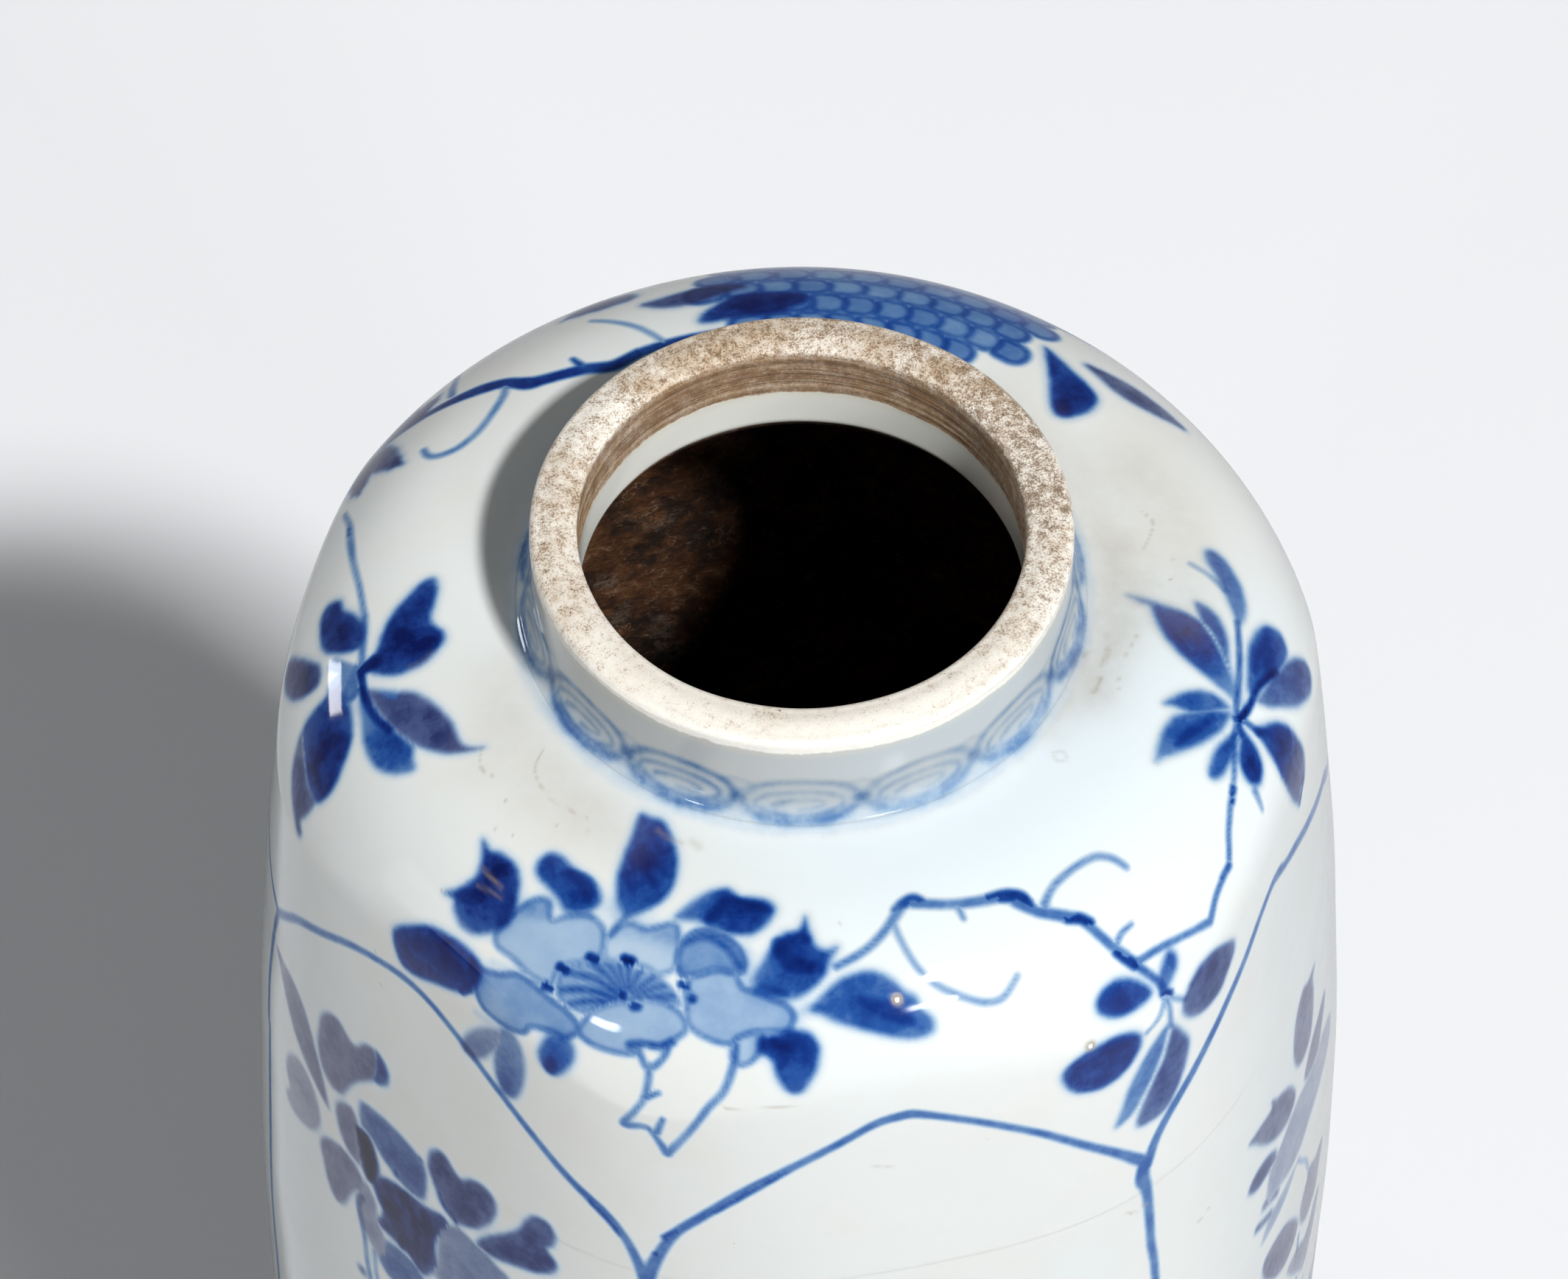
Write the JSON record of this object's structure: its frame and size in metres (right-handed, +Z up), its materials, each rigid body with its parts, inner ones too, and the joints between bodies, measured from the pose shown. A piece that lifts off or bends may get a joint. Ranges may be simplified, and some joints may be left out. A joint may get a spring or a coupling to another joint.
{
  "type": "hexagonal covered vase",
  "caption": "Hexagonal porcelain vase with a domed shoulder, short neck and blue painted flowers, with its domed plug-in cover standing behind it.",
  "frame": {"origin": "on the ground, in the middle of the footprint of the vase and the cover that stands behind it", "axes": "+Z up along the vase's axis; -Y is the front, the middle of one facet; the cover stands towards +Y; +X runs through two opposite ridges"},
  "size_m": [0.1206, 0.194, 0.25],
  "materials": {
    "painted_glaze": "clear gloss glaze over cobalt blue painting on a cool white ground",
    "plain_glaze": "clear gloss glaze on a cool white ground",
    "bare_clay": "unglazed cream clay with brown iron specks"
  },
  "bodies": {
    "vase": {"foot_ring": "bare_clay", "base_slab": "plain_glaze", "lower_body": "painted_glaze", "upper_body": "painted_glaze", "shoulder": "painted_glaze", "neck": "painted_glaze"},
    "cover": {"cover_plug": "bare_clay", "cover_cap": "painted_glaze", "cover_knob": "painted_glaze"}
  },
  "joints": [
    {"name": "cover_lift", "type": "slide", "parent": "vase", "child": "cover", "axis": [0, 0, 1], "range_m": [0, 0.1]}
  ]
}
